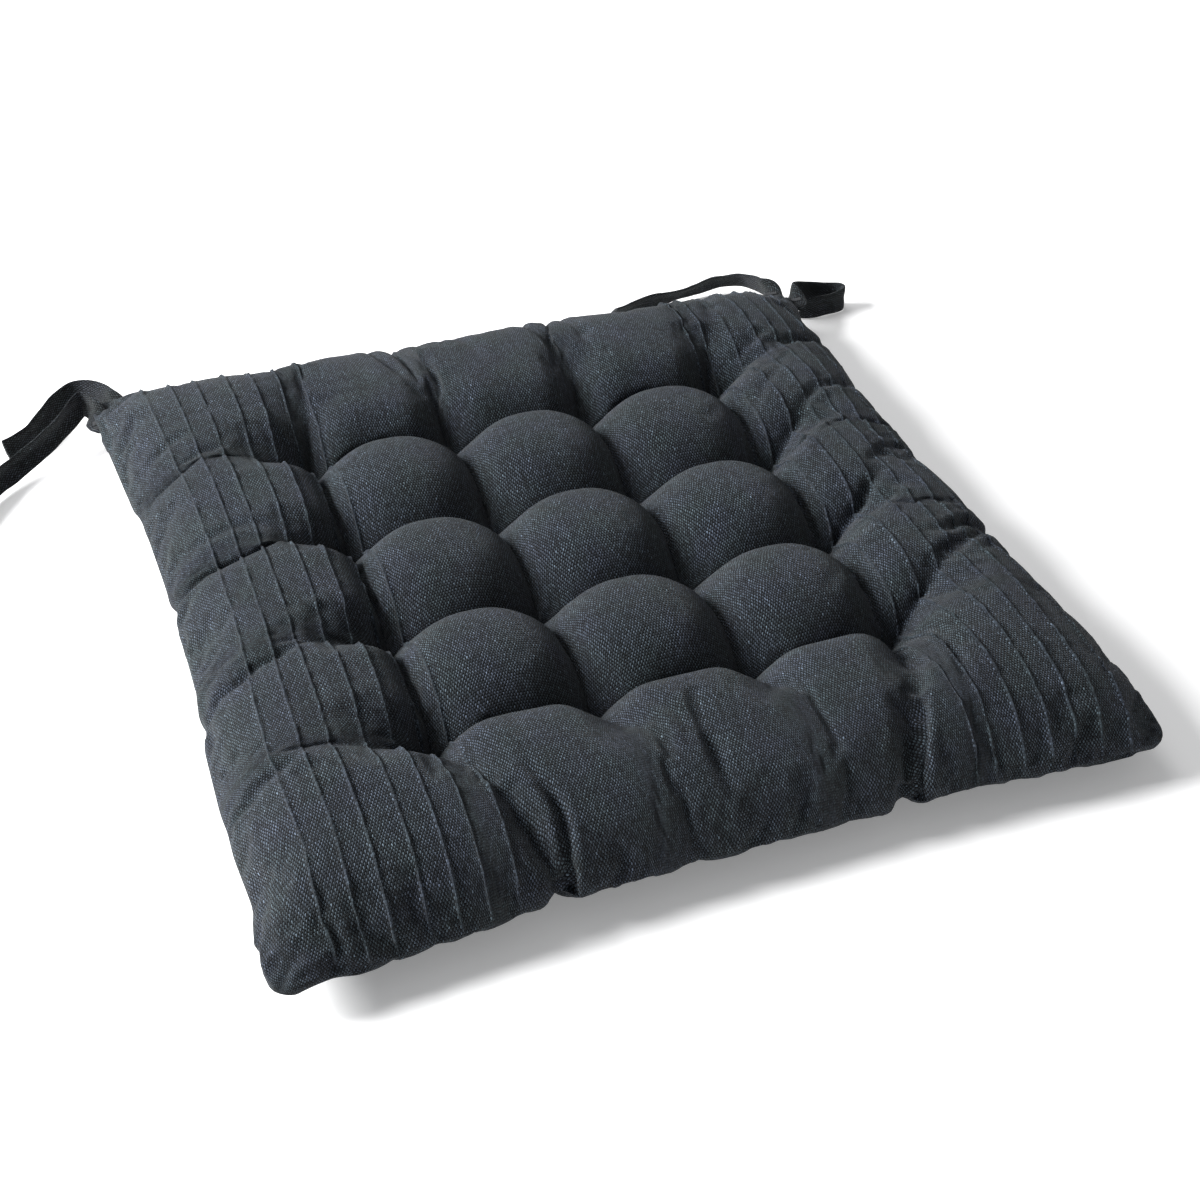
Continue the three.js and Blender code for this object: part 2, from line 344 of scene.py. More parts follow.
# Soft folds in the border, between its creases: both ends (m), then depth and half width (mm).
FOLDS = [
    ((-0.037, -0.112), (-0.024, -0.148), 3.0, 7),
    ((-0.024, -0.148), (-0.027, -0.170), 2.0, 6),
    ((0.000, -0.128), (-0.004, -0.186), 3.0, 7),
    ((0.038, -0.112), (0.048, -0.146), 3.0, 8),
    ((0.048, -0.146), (0.048, -0.176), 2.0, 7),
    ((0.102, -0.118), (0.098, -0.156), 3.0, 8),
    ((0.123, -0.112), (0.116, -0.158), 2.6, 8),
    ((-0.077, -0.116), (-0.081, -0.160), 2.5, 8),
    ((-0.116, -0.112), (-0.120, -0.150), 2.0, 7),
    ((0.120, 0.040), (0.161, 0.077), 3.0, 8),
    ((0.116, 0.066), (0.150, 0.100), 2.4, 8),
    ((0.152, -0.001), (0.187, 0.015), 4.0, 8),
    ((0.117, -0.035), (0.155, -0.004), 3.2, 9),
    ((0.118, -0.100), (0.176, -0.063), 4.0, 9),
    ((0.120, 0.112), (0.158, 0.132), 3.0, 9),
    ((-0.174, 0.109), (-0.150, 0.112), 2.0, 7),
    ((-0.176, 0.029), (-0.146, 0.031), 3.5, 8),
    ((-0.150, -0.041), (-0.128, -0.036), 2.5, 8),
    ((-0.168, -0.107), (-0.140, -0.108), 2.0, 9),
    ((-0.045, 0.196), (-0.045, 0.140), 4.0, 8),
    ((-0.030, 0.190), (-0.034, 0.130), 2.5, 7),
    ((0.045, 0.196), (0.030, 0.130), 4.0, 8),
    ((0.060, 0.180), (0.050, 0.125), 2.0, 7),
    ((0.140, 0.190), (0.125, 0.135), 3.0, 8),
    ((-0.100, 0.170), (-0.106, 0.125), 2.5, 8),
]

# Sharp tucks in the filled cover: the way each runs, its depth and half its width, all in mm, and the
# share of its depth that is left where it ends, at the rim or in the open cloth.
TUCKS = [
    ([(-82, -146), (-79, -158), (-76, -170), (-77, -183), (-80, -198)], 5.2, 2.4, 0.7),
    ([(99, -144), (90, -169), (84, -184), (78, -198)], 4.8, 2.4, 0.7),
    ([(-37, -113), (-29, -128), (-22, -142), (-21, -155), (-24, -170)], 1.8, 2.6, 0.0),
    ([(-25, -114), (-17, -128), (-12, -143), (-12, -160)], 1.7, 2.6, 0.0),
    ([(3, -118), (-3, -134), (-5, -151), (-5, -174)], 2.3, 2.8, 0.0),
    ([(101, -110), (104, -127), (104, -148)], 1.8, 2.8, 0.0),
    ([(118, -110), (123, -130), (119, -150), (113, -172)], 1.7, 2.8, 0.0),
    ([(144, -5), (155, 4), (167, 12), (178, 15), (192, 12)], 2.7, 2.8, 0.2),
    ([(141, -60), (159, -62), (170, -57), (182, -52), (198, -52)], 2.8, 2.8, 0.4),
    ([(133, 48), (142, 58), (153, 66), (178, 74)], 1.9, 2.8, 0.0),
    ([(134, -86), (144, -79), (164, -69)], 2.0, 2.8, 0.0),
    ([(140, 109), (151, 113), (170, 120), (190, 127)], 1.5, 2.8, 0.0),
    ([(124, -31), (134, -23), (148, -12)], 1.5, 2.8, 0.0),
    ([(-196, 113), (-187, 122), (-174, 127), (-160, 126)], 1.4, 2.8, 0.0),
    ([(-197, 46), (-178, 47), (-154, 46), (-137, 37)], 1.5, 2.8, 0.0),
    ([(-45, 128), (-52, 152), (-56, 176), (-60, 196)], 2.3, 3.0, 0.2),
    ([(-30, 124), (-35, 150), (-41, 174), (-44, 196)], 1.8, 3.0, 0.2),
    ([(36, 128), (34, 150), (28, 172), (24, 192)], 2.0, 3.0, 0.0),
    ([(50, 130), (52, 152), (52, 176), (50, 196)], 2.0, 3.0, 0.2),
    ([(-6, 140), (-8, 160), (-12, 182)], 2.0, 4.0, 0.0),
    ([(120, 130), (126, 150), (132, 172), (136, 194)], 1.6, 3.0, 0.2),
]

# How far the rim wanders outwards from a straight side: places along the side, then amounts, in mm.
RIM_LEFT = ((-200, -185, -155, -120, -65, -27, 40, 87, 114, 200), (3, 4, 1, 3, 1, -3, -4, -3, 0, 6))
RIM_RIGHT = ((-200, -163, -118, -70, -18, 39, 68, 160, 200), (3, 5, 3, -1, -4, -8, -7, -6, 2))
RIM_FRONT = (
    (-200, -177, -145, -115, -94, -28, 41, 113, 137, 200),
    (7, 3, 1, -1, -4, -5, -6, -6, -3, -2),
)
RIM_BACK = (
    (-200, -180, -147, -115, -82, -20, 56, 79, 130, 200),
    (11, 9, 3, -3, 2, -2, 1, -4, -3, 1),
)


def rounded(share):
    """0 at a crease and 1 where the puff has its full height, along an arc."""
    across = (1 - np.clip(share, 0, 1)) * FULLNESS
    low = (1 - FULLNESS**SQUARENESS) ** (1 / SQUARENESS)
    return ((1 - across**SQUARENESS) ** (1 / SQUARENESS) - low) / (1 - low)


def soft_step(share):
    share = np.clip(share, 0, 1)
    return share * share * (3 - 2 * share)


def groove(x, y, start, end, depths, reaches, softness):
    """How far a crease between two points pulls the cloth down: depths are at its start, middle, end."""
    run = np.subtract(end, start)
    along = np.clip(((x - start[0]) * run[0] + (y - start[1]) * run[1]) / (run @ run), 0, 1)
    away = np.hypot(x - start[0] - along * run[0], y - start[1] - along * run[1])
    near_start = np.interp(along, (0.06, 0.4), (1, 0))
    near_end = np.interp(along, (0.6, 1), (0, 1))
    depth = depths[1] + (depths[0] - depths[1]) * near_start + (depths[2] - depths[1]) * near_end
    reach = reaches[0] + (reaches[1] - reaches[0]) * soft_step(along)
    sharp = 1 - rounded(away / reach)
    soft = 1 - soft_step(away / reach)
    share = softness * np.interp(along, (0, 0.4, 0.7, 1), (0, 1, 0.8, 0.2))
    return depth * (sharp + (soft - sharp) * share)


def fold(x, y, start, end, depth, reach):
    """How far a fold goes down: it comes up out of the cloth and runs out again."""
    run = np.subtract(end, start)
    along = ((x - start[0]) * run[0] + (y - start[1]) * run[1]) / (run @ run)
    inside = np.clip(along, 0, 1)
    away = np.hypot(x - start[0] - inside * run[0], y - start[1] - inside * run[1])
    return depth * (1 - rounded(away / reach)) * np.sin(math.pi * np.clip(0.1 + 0.8 * along, 0, 1))


def tufted_height(x, y):
    """The height of the quilting before the rim pulls it down: each crease takes its share of a puff."""
    inside = (np.abs(x) < TUFTS[..., 0].max()) & (np.abs(y) < TUFTS[..., 1].max())
    puff = np.where(inside, DOME_Z, ROLL_Z)
    full, valley = puff - TUFT_Z, puff - VALLEY_Z
    reach = np.where(inside, 0.5 * abs(TUFTS[0, 1, 0] - TUFTS[0, 0, 0]), ROLL_REACH)
    share = np.ones_like(x)
    for row in range(TUFT_ROWS):
        for column in range(TUFT_COLUMNS):
            here = TUFTS[row, column]
            for after in ((row + 1, column), (row, column + 1)):
                if after[0] < TUFT_ROWS and after[1] < TUFT_COLUMNS:
                    depths, reaches = (valley, valley, valley), (reach, reach)
                    pull = groove(x, y, here, TUFTS[after], depths, reaches, 0)
                    share = share * (1 - pull / full)
    for row, column, end, middle_depth, rim_depth, width in BORDER_CREASES:
        depths = (valley, middle_depth * MM, rim_depth * MM)
        reaches = (reach, width * MM)
        pull = groove(x, y, TUFTS[row, column], end, depths, reaches, CREASE_SOFTNESS)
        share = share * (1 - pull / full)
    for start, end, depth, width in FOLDS:
        share = share * (1 - fold(x, y, start, end, depth * MM, width * MM) / full)
    return TUFT_Z + full * share


def edge_rise(at, half):
    """0 at the rim and 1 past the rounded edge."""
    past = np.clip((np.abs(at) - (half - EDGE_ROUND)) / EDGE_ROUND, 0, 1)
    return np.sqrt(1 - past**EDGE_POWER)


def quilt_height(x, y):
    """How far the upper panel stands above the seam."""
    body = tufted_height(x, y) - SEAM_Z
    return body * edge_rise(x, HALF_WIDTH) * edge_rise(y, HALF_DEPTH)


LINE_SAMPLES = 4001


def even_lines(half, height_at, cells):
    """Places of grid lines, an even length of cloth apart over the puffs."""
    at = np.linspace(-half, half, LINE_SAMPLES)
    height = height_at(at)
    length = np.concatenate([[0], np.cumsum(np.hypot(np.diff(at), np.diff(height)))])
    return np.interp(np.linspace(0, length[-1], cells + 1), length, at), length[-1]


def rim_notches(x, y):
    """How far the rim is drawn in where a crease meets it."""
    drawn = np.zeros_like(x)
    for _, _, end, _, depth, width in BORDER_CREASES:
        away = np.hypot(x - end[0], y - end[1]) / (NOTCH_WIDTH * width * MM)
        drawn = np.maximum(drawn, NOTCH_DEPTH * depth * MM * np.exp(-(away**2)))
    return drawn


def side_wander(at, side):
    return np.interp(at, np.multiply(side[0], MM), np.multiply(side[1], MM))


def shape_rim(x, y):
    """Rounds the corners, lets the rim wander and draws it in at the creases."""
    over_x = np.abs(x) - (HALF_WIDTH - CORNER_RADIUS)
    over_y = np.abs(y) - (HALF_DEPTH - CORNER_RADIUS)
    corner = (over_x > 0) & (over_y > 0)
    reach = np.where(corner, np.hypot(over_x, over_y), 1)
    pull = np.where(corner, 1 - np.maximum(over_x, over_y) / reach, 0)
    x = x - np.sign(x) * over_x * pull
    y = y - np.sign(y) * over_y * pull
    out_x = np.where(x < 0, side_wander(y, RIM_LEFT), side_wander(y, RIM_RIGHT))
    out_y = np.where(y < 0, side_wander(x, RIM_FRONT), side_wander(x, RIM_BACK))
    drawn = rim_notches(x, y)
    wide = 70 * MM
    narrow = 10 * MM
    near_x, near_y = HALF_WIDTH - np.abs(x), HALF_DEPTH - np.abs(y)
    out_x = out_x * soft_step(1 - near_x / wide) - drawn * soft_step(1 - near_x / narrow)
    out_y = out_y * soft_step(1 - near_y / wide) - drawn * soft_step(1 - near_y / narrow)
    return x + np.sign(x) * out_x, y + np.sign(y) * out_y


# ---------------------------------------------------------------- the cover: cloth blown up

CLOTH_CELLS = 120
CLOTH_FRAMES = 22
CLOTH_QUALITY = 6
CLOTH_MASS = 0.15
CLOTH_PRESSURE = 40.0
CLOTH_STRETCH = 50
CLOTH_SHEAR = 20
CLOTH_BENDING = 0.2
CLOTH_DAMPING = 2
CLOTH_SPARE = 0.035  # how much larger the cloth is than the form it starts from


def grid_places(mesh, cells_x, cells_y):
    """The column and row of each vertex of a grid made by create_grid."""
    places = np.empty(len(mesh.vertices) * 3)
    mesh.vertices.foreach_get("co", places)
    places = places.reshape(-1, 3)
    column = np.rint((places[:, 0] + 1) / 2 * cells_x).astype(int)
    row = np.rint((places[:, 1] + 1) / 2 * cells_y).astype(int)
    return column, row


def panel_mesh(name, points, flat=None, crest=None, face_down=False):
    """A panel of cloth through a grid of points, as a mesh: points[row, column] is a place.

    flat is its UV map, and crest says where the cloth is folded up into a rib.
    """
    rows, columns = points.shape[0] - 1, points.shape[1] - 1
    bm = bmesh.new()
    bmesh.ops.create_grid(bm, x_segments=columns, y_segments=rows, size=1.0)
    if face_down:
        bmesh.ops.reverse_faces(bm, faces=bm.faces)
    mesh = bpy.data.meshes.new(name)
    bm.to_mesh(mesh)
    bm.free()
    column, row = grid_places(mesh, columns, rows)
    mesh.vertices.foreach_set("co", points[row, column].ravel())
    for label, values in (("column", column), ("row", row)):
        mesh.attributes.new(label, "INT", "POINT").data.foreach_set("value", values)
    if flat is not None:
        corner = np.empty(len(mesh.loops), dtype=int)
        mesh.loops.foreach_get("vertex_index", corner)
        layer = mesh.uv_layers.new(name="cloth")
        layer.data.foreach_set("uv", flat[row, column][corner].ravel())
        folded = mesh.attributes.new("rib", "FLOAT", "POINT")
        folded.data.foreach_set("value", crest[row, column])
    return mesh


def sew_panels(name, upper, lower):
    """Two panel meshes as one, joined where their rims meet."""
    bm = bmesh.new()
    bm.from_mesh(upper)
    is_lower = bm.verts.layers.int.new("lower")
    before = len(bm.verts)
    bm.from_mesh(lower)
    bm.verts.ensure_lookup_table()
    for vertex in bm.verts[before:]:
        vertex[is_lower] = 1
    bmesh.ops.remove_doubles(bm, verts=bm.verts, dist=0.001 * MM)
    mesh = bpy.data.meshes.new(name)
    bm.to_mesh(mesh)
    bm.free()
    for used in (upper, lower):
        bpy.data.meshes.remove(used)
    return mesh


def start_form():
    """The upper and lower panels before the cloth settles, and the cloth's grid lines and size."""
    lines_x, cloth_width = even_lines(HALF_WIDTH, lambda x: quilt_height(x, x * 0), CLOTH_CELLS)
    lines_y, cloth_depth = even_lines(HALF_DEPTH, lambda y: quilt_height(y * 0, y), CLOTH_CELLS)
    x, y = np.meshgrid(lines_x, lines_y)
    rise = quilt_height(x, y)
    x, y = shape_rim(x, y)
    upper = np.stack([x, y, SEAM_Z + rise], axis=-1)
    lower = np.stack([x, y, SEAM_Z - rise * UNDERSIDE_SHARE * SEAM_Z / (ROLL_Z - SEAM_Z)], axis=-1)
    return upper, lower, lines_x, (cloth_width, cloth_depth)


def nearest_points(points, places):
    """The row and column of the grid point nearest to each tuft."""
    found = []
    for place in places.reshape(-1, 2):
        away = np.hypot(points[..., 0] - place[0], points[..., 1] - place[1])
        found.append(np.unravel_index(away.argmin(), away.shape))
    return found


def blow_up(upper, lower):
    """Cloth simulation: pressure inside, with the tufts and the rim held. Gives both panels back."""
    held = nearest_points(upper, TUFTS)
    for (row, column), place in zip(held, TUFTS.reshape(-1, 2)):
        upper[row, column] = (*place, TUFT_Z)
        lower[row, column] = (*place, TUFT_UNDER_Z)
    mesh = sew_panels(
        "cloth", panel_mesh("upper", upper), panel_mesh("lower", lower, face_down=True)
    )
    count = len(mesh.vertices)
    column, row, side = (np.empty(count, dtype=int) for _ in range(3))
    for label, values in (("column", column), ("row", row), ("lower", side)):
        mesh.attributes[label].data.foreach_get("value", values)
    on_rim = (column % CLOTH_CELLS == 0) | (row % CLOTH_CELLS == 0)
    in_row = CLOTH_CELLS + 1
    at_tuft = np.isin(row * in_row + column, [r * in_row + c for r, c in held])

    cover = bpy.data.objects.new("cloth", mesh)
    bpy.context.scene.collection.objects.link(cover)
    group = cover.vertex_groups.new(name="held")
    group.add(np.flatnonzero(on_rim | at_tuft).tolist(), 1.0, "REPLACE")
    cloth = cover.modifiers.new("filling", "CLOTH")
    settings = cloth.settings
    settings.quality = CLOTH_QUALITY
    settings.mass = CLOTH_MASS
    settings.tension_stiffness = settings.compression_stiffness = CLOTH_STRETCH
    settings.shear_stiffness = CLOTH_SHEAR
    settings.bending_stiffness = CLOTH_BENDING
    settings.air_damping = CLOTH_DAMPING
    settings.use_pressure = True
    settings.uniform_pressure_force = CLOTH_PRESSURE
    settings.shrink_min = -CLOTH_SPARE
    settings.vertex_group_mass = "held"
    settings.effector_weights.gravity = 0
    cloth.collision_settings.use_collision = False
    cloth.point_cache.frame_start = 1
    cloth.point_cache.frame_end = CLOTH_FRAMES
    for step in range(1, CLOTH_FRAMES + 1):
        bpy.context.scene.frame_set(step)
    graph = bpy.context.evaluated_depsgraph_get()
    result = cover.evaluated_get(graph).to_mesh()
    places = np.empty(count * 3)
    result.vertices.foreach_get("co", places)
    places = places.reshape(-1, 3)
    bpy.data.objects.remove(cover)
    bpy.data.meshes.remove(mesh)
    bpy.context.scene.frame_set(1)

    shaped = []
    for wanted in (0, 1):
        panel = np.empty((CLOTH_CELLS + 1, CLOTH_CELLS + 1, 3))
        mine = (side == wanted) | on_rim
        panel[row[mine], column[mine]] = places[mine]
        shaped.append(panel)
    return shaped


# ---------------------------------------------------------------- the cover: fine cloth with ribs

FINE_STEP = 0.43  # of a cloth cell
FINE_CLEARANCE = 0.12  # of a cloth cell, that even lines keep from a rib's own lines
RIB_PLACES_LEFT = (25, 37, 48, 62, 74, 86, 99)  # from the left rim
RIB_PLACES_RIGHT = (20, 33, 45, 57, 70, 83, 92)  # from the right rim
RIB_HEIGHT = 0.95 * MM
RIB_HALF = 0.65 * MM
RIB_FOOT = 1.3  # how far a rib's foot reaches, in its half widths
RIB_LINES = (-1.6, -1, -0.5, 0, 0.5, 1, 1.6)  # grid lines along a rib, in its half widths
RIB_UNEVEN = ((0.7, 14 * MM, 3), (0.8, 4 * MM, 5))  # strength, size and seed of its unevenness
RIB_UNEVEN_RANGE = (0.1, 1.9)
REST_SOFTNESS = 2.5 * MM  # how gently the underside leaves the surface it rests on
TUCK_STEPS = 40
RIDGE_HEIGHT = 0.2  # of the ridge beside a tuck, against the tuck's depth
RIDGE_PLACE = 1.9  # how far that ridge is from the tuck, in half widths of the tuck
RIDGE_WIDTH = 0.8


def spline_weights(at, count):
    """Weights that draw a smooth curve through count even points, at fractional places."""
    first = np.clip(np.floor(at).astype(int), 0, count - 2)
    t = at - first
    weights = np.zeros((len(at), count))
    terms = (
        -0.5 * t + t**2 - 0.5 * t**3,
        1 - 2.5 * t**2 + 1.5 * t**3,
        0.5 * t + 2 * t**2 - 1.5 * t**3,
        -0.5 * t**2 + 0.5 * t**3,
    )
    rows = np.arange(len(at))
    for offset, term in zip((-1, 0, 1, 2), terms):
        np.add.at(weights, (rows, np.clip(first + offset, 0, count - 1)), term)
    return weights


def fine_lines(count, extra=()):
    """Fractional grid places: even steps, but with the extra places in and their neighbours out."""
    even = np.linspace(0, count, int(count / FINE_STEP) + 1)
    if not len(extra):
        return even
    extra = np.sort(np.asarray(extra))
    clear = np.abs(even[:, None] - extra[None, :]).min(axis=1) > FINE_CLEARANCE
    clear[0] = clear[-1] = True
    return np.sort(np.concatenate([even[clear], extra]))


def surface_normals(points):
    across = np.gradient(points, axis=1)
    along = np.gradient(points, axis=0)
    normal = np.cross(across, along)
    return normal / np.maximum(np.linalg.norm(normal, axis=-1, keepdims=True), 1e-12)


def smooth_noise(points, size, seed):
    """Repeatable noise from -1 to 1 at places of cloth."""
    offset = Vector((seed * 17.3, seed * 5.1, seed * 2.7))
    flat = points.reshape(-1, points.shape[-1])
    values = [noise.noise(Vector((*p[:2], 0)) / size + offset) for p in flat]
    return np.array(values).reshape(points.shape[:-1])


def lay_flat(panel):
    """The underside rests on the surface: what would go through it is pressed flat."""
    soft = REST_SOFTNESS
    height = panel[..., 2]
    pressed = soft * np.log1p(np.exp(np.clip(height / soft, -40, 40)))
    panel[..., 2] = np.where(height < 8 * soft, pressed - pressed.min(), height)


def share_rim(panel, other):
    """Puts the rim of a panel where the other's rim is."""
    panel[0], panel[-1] = other[0], other[-1]
    panel[:, 0], panel[:, -1] = other[:, 0], other[:, -1]


def press_tucks(panel):
    """Draws the cloth in along each tuck, with a low ridge beside it."""
    drawn = np.zeros(panel.shape[:2])
    for way, depth, half, left in TUCKS:
        path = smooth_path([(x * MM, y * MM, 0) for x, y in way], TUCK_STEPS)[0]
        away = np.hypot(panel[..., 0, None] - path[:, 0], panel[..., 1, None] - path[:, 1])
        along = away.argmin(axis=-1) / TUCK_STEPS
        away = away.min(axis=-1) / (half * MM)
        taper = np.interp(along, (0, 0.45, 0.75, 1), (0, 1, 1, left))
        ridge = np.exp(-(((away - RIDGE_PLACE) / RIDGE_WIDTH) ** 2))
        profile = np.exp(-(away**2)) - RIDGE_HEIGHT * ridge
        drawn += depth * MM * taper * profile
    panel -= surface_normals(panel) * drawn[..., None]


def make_cover(material):
    upper, lower, lines_x, (cloth_width, cloth_depth) = start_form()
    upper, lower = blow_up(upper, lower)

    cell = cloth_width / CLOTH_CELLS
    ribs = [-HALF_WIDTH + place * MM for place in RIB_PLACES_LEFT]
    ribs += [HALF_WIDTH - place * MM for place in RIB_PLACES_RIGHT]
    rib_columns = np.interp(ribs, lines_x, np.arange(CLOTH_CELLS + 1))
    beside = np.array(RIB_LINES) * RIB_HALF / cell
    columns = fine_lines(CLOTH_CELLS, (rib_columns[:, None] + beside).ravel())
    rows = fine_lines(CLOTH_CELLS)
    weights_x = spline_weights(columns, CLOTH_CELLS + 1)
    weights_y = spline_weights(rows, CLOTH_CELLS + 1)
    flat_x = (columns / CLOTH_CELLS - 0.5) * cloth_width
    flat_y = (rows / CLOTH_CELLS - 0.5) * cloth_depth
    flat = np.stack(np.meshgrid(flat_x, flat_y), axis=-1)

    upper, lower = (
        np.einsum("ri,cj,ijk->rck", weights_y, weights_x, panel) for panel in (upper, lower)
    )
    lay_flat(lower)
    share_rim(upper, lower)
    press_tucks(upper)
    share_rim(lower, upper)

    # The ribs: narrow folds of cloth that stand up along the pad, uneven and with gaps, and run out
    # at the front and back rims.
    from_rib = np.abs(columns[None, :] - rib_columns[:, None]) * cell
    profile = np.clip(1 - (from_rib / (RIB_FOOT * RIB_HALF)) ** 2, 0, 1).max(axis=0)
    uneven = 1
    for strength, size, seed in RIB_UNEVEN:
        uneven = uneven + strength * smooth_noise(flat, size, seed)
    uneven = np.clip(uneven, *RIB_UNEVEN_RANGE)
    fade = np.clip(np.minimum(rows, CLOTH_CELLS - rows), 0, 1)[:, None]
    upper += surface_normals(upper) * (RIB_HEIGHT * profile * uneven * fade)[..., None]

    crest = np.clip(profile * uneven, 0, 1) * fade
    other_cloth = flat + (1.0, 0.0)
    upper_mesh = panel_mesh("upper", upper, flat, crest=crest)
    lower_mesh = panel_mesh("lower", lower, other_cloth, crest=crest * 0, face_down=True)
    mesh = sew_panels("quilted_cover", upper_mesh, lower_mesh)
    mesh.shade_smooth()
    mesh.materials.append(material)
    cover = bpy.data.objects.new("quilted_cover", mesh)
    bpy.context.scene.collection.objects.link(cover)
    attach(cover, "pad")
    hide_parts("top_cover", "bottom_cover", "fibre_filling", "rim_seam_thread")


# ---------------------------------------------------------------- ties and stitches

THREAD_SECTION = 8
TIE_WIDTH = 14 * MM
TIE_THICKNESS = 2 * MM
TIE_STEPS = 110
TIE_SECTION = 28
TIE_INSIDE_SEAM = 5 * MM
TIE_TURN = 15 * MM  # a tie leaves the seam flat and has its full lean after this length
TIE_WOBBLE = 0.34  # how far its lean wanders, in radians
TIE_STITCHED_WIDTH = 1.02  # of its width
TIE_UNEVEN_WIDTH = 0.09
TIE_UNEVEN_BODY = 0.4  # of its thickness
TIE_FACE_POWER = 0.55  # below 1, these make its section flatter and squarer than an ellipse
TIE_EDGE_POWER = 0.7
WOBBLE_LENGTH = 30 * MM  # how long its slow turns, uneven places and puckers are
UNEVEN_LENGTH = 12 * MM
PUCKER_LENGTH = 7 * MM
FOLD_START = 10 * MM  # where the fold along its middle starts, and the length it needs to deepen
FOLD_LENGTH = 30 * MM
TACK_TURNS = 15
TACK_WIDTH = 7 * MM
TACK_REACH = 1.4 * MM
TACK_RADIUS = 0.35 * MM
TACK_PLACE = 2.2 * MM  # past the rim
TACK_ABOVE = 0.2 * MM  # the tie's face
TACK_STEPS = 160

# Each tie: the side of the corner it is at (-1 left, 1 right), its route from there (outwards,
# backwards and height, in mm), the angle that its width leans at once it has left the seam (90 is
# upright), how deeply it is folded along its middle (mm), and a way from its root (mm to the right
# and backwards), which is read but not used.
TIES = {
    "tie_left_rear": {
        "side": -1,
        "route": [
            (-8, 2.6, 19), (-6, 11, 18.5), (-2.5, 21, 17.5), (4, 29, 16), (12, 32.5, 14.5),
            (20, 29, 12.5), (27, 22, 10.5), (33.5, 14.5, 9), (39, 8, 8), (45.5, 2.5, 8),
            (52.3, -1.8, 8),
        ],
        "lean": 62,
        "crease": 1.4,
        "bend_way": (-6, 8),
    },
    "tie_left_side": {
        "side": -1,
        "route": [
            (2.6, -8, 19), (4, -1, 20.3), (5.3, 6, 21.7), (9.5, 11.8, 21.8), (13.5, 10, 20.4),
            (18.2, 6.3, 18), (24, 1.2, 16), (30, -3.6, 14), (36.2, -8, 12), (43, -12.2, 10),
            (52, -18.3, 8), (60, -25, 8), (67, -33.5, 8), (73.5, -43, 8), (79, -53.5, 8),
        ],
        "lean": 74,
        "crease": 3.0,
        "bend_way": (-6, 0),
    },
    "tie_right_rear": {
        "side": 1,
        "route": [
            (-8, 2.6, 19), (-6.5, 11, 18), (-6.5, 20, 16.5), (-8.5, 28.5, 14.5), (-13, 36, 13),
            (-20.6, 41, 11), (-29, 42.3, 10), (-37, 41.5, 9), (-46, 40.2, 8.3), (-54.3, 38.8, 8),
            (-63, 37.3, 8), (-71.8, 35.9, 8), (-85.7, 33, 8), (-98, 29.8, 8),
        ],
        "lean": 118,
        "crease": 1.2,
        "bend_way": (0, 10),
    },
    "tie_right_side": {
        "side": 1,
        "route": [
            (2.6, -8, 19), (3.5, -1, 18.5), (6.5, 5.5, 17), (11.5, 9.8, 14.5), (17.5, 12, 12),
            (24, 13, 10), (30.5, 13.2, 8.8), (36.5, 12.8, 8.2), (41.2, 10.8, 8), (42.8, 7.2, 8),
            (40.6, 4, 8), (35.5, 2.3, 8), (29, 1.3, 8), (22.5, 0.8, 8), (16.5, 0.9, 8),
            (11.5, 2, 8),
        ],
        "lean": 90,
        "crease": 1.0,
        "bend_way": (4.5, 7.8),
    },
}


def smooth_path(points, steps):
    """Places an even length apart on a smooth curve through the points."""
    points = np.asarray(points, dtype=float)
    curve = spline_weights(np.linspace(0, len(points) - 1, 40 * len(points)), len(points)) @ points
    length = np.concatenate([[0], np.cumsum(np.linalg.norm(np.diff(curve, axis=0), axis=1))])
    even = np.linspace(0, length[-1], steps + 1)
    return np.stack([np.interp(even, length, curve[:, k]) for k in range(3)], axis=-1), length[-1]


def unit(vectors):
    return vectors / np.maximum(np.linalg.norm(vectors, axis=-1, keepdims=True), 1e-12)


def swept_mesh(name, rings, flat):
    """A closed tube through rings[step, point] of places, with flat[step, point] as its UV map."""
    steps, around = rings.shape[0] - 1, rings.shape[1] - 1
    bm = bmesh.new()
    bmesh.ops.create_grid(bm, x_segments=around, y_segments=steps, size=1.0)
    cloth = bm.loops.layers.uv.new("cloth")
    for vertex in bm.verts:
        column = round((vertex.co.x + 1) / 2 * around)
        row = round((vertex.co.y + 1) / 2 * steps)
        vertex.co = rings[row, column]
        for loop in vertex.link_loops:
            loop[cloth].uv = flat[row, column]
    bmesh.ops.remove_doubles(bm, verts=bm.verts, dist=0.001 * MM)
    edges = [edge for edge in bm.edges if edge.is_boundary]
    caps = bmesh.ops.holes_fill(bm, edges=edges, sides=0)["faces"]
    bmesh.ops.inset_region(bm, faces=caps, thickness=0.25 * MM, depth=0.15 * MM)
    bmesh.ops.recalc_face_normals(bm, faces=bm.faces)
    mesh = bpy.data.meshes.new(name)
    bm.to_mesh(mesh)
    bm.free()
    mesh.shade_smooth()
    return mesh


def add_piece(name, mesh, material):
    mesh.materials.append(material)
    piece = bpy.data.objects.new(name, mesh)
    bpy.context.scene.collection.objects.link(piece)
    return piece


